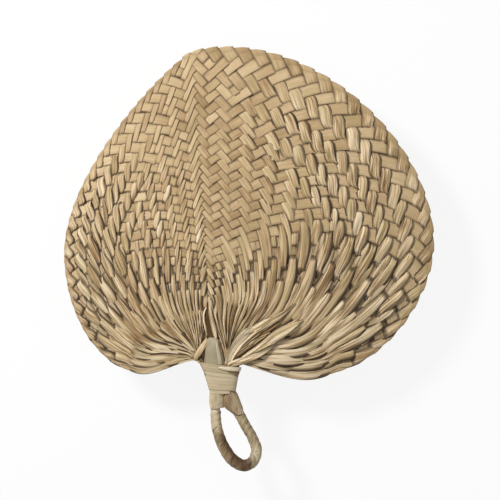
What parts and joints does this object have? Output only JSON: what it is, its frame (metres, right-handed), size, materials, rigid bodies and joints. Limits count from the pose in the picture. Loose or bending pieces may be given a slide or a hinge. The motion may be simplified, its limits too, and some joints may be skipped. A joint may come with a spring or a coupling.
{
  "type": "woven hand fan",
  "caption": "Heart-shaped hand fan woven in twill from dry leaf strips, with a leaf-bound neck and a wrapped loop handle; blade and loop bend springily at the neck.",
  "frame": {"origin": "on the flat back of the neck binding, halfway along the neck, where the fan rests when it lies on its back", "axes": "+Y along the neck from the loop to the tip, +Z out of the fan's front, +X to the right seen from the front"},
  "size_m": [0.3016, 0.3451, 0.0143],
  "materials": {
    "strip_leaf": "dry leaf with fine fibre lines, satin, tan with darker edges",
    "binding_leaf": "smooth dry leaf, satin, pale beige",
    "grey_leaf": "smooth dry leaf, satin, grey-beige",
    "inner_leaf": "bundled dry leaf, matt brown"
  },
  "bodies": {
    "handle": {"neck_core": "inner_leaf", "neck_binding": "binding_leaf"},
    "blade": {"right_strip_01": "strip_leaf", "right_strip_02": "strip_leaf", "right_strip_03": "strip_leaf", "right_strip_04": "strip_leaf", "right_strip_05": "strip_leaf", "right_strip_06": "strip_leaf", "right_strip_07": "strip_leaf", "right_strip_08": "strip_leaf", "right_strip_09": "strip_leaf", "right_strip_10": "strip_leaf", "right_strip_11": "strip_leaf", "right_strip_12": "strip_leaf", "left_strip_01": "strip_leaf", "left_strip_02": "strip_leaf", "left_strip_03": "strip_leaf", "left_strip_04": "strip_leaf", "left_strip_05": "strip_leaf", "left_strip_06": "strip_leaf", "left_strip_07": "strip_leaf", "left_strip_08": "strip_leaf", "left_strip_09": "strip_leaf", "left_strip_10": "strip_leaf", "left_strip_11": "strip_leaf", "left_strip_12": "strip_leaf", "right_gather": "strip_leaf", "left_gather": "strip_leaf", "leaf_bunch": "strip_leaf", "tongue": "grey_leaf"},
    "loop": {"loop_core": "inner_leaf", "loop_wrap": "binding_leaf", "leg_sleeve": "grey_leaf", "root_wrap": "binding_leaf"}
  },
  "joints": [
    {"name": "blade_flex", "type": "hinge", "parent": "handle", "child": "blade", "pos_m": [0, 0.012, 0.007], "axis": [1, 0, 0], "range_deg": [-8, 8], "stiffness_Nm_per_rad": 2.5},
    {"name": "loop_flex", "type": "hinge", "parent": "handle", "child": "loop", "pos_m": [0.002, -0.012, 0.006], "axis": [1, 0, 0], "range_deg": [-9, 9], "stiffness_Nm_per_rad": 0.5}
  ]
}
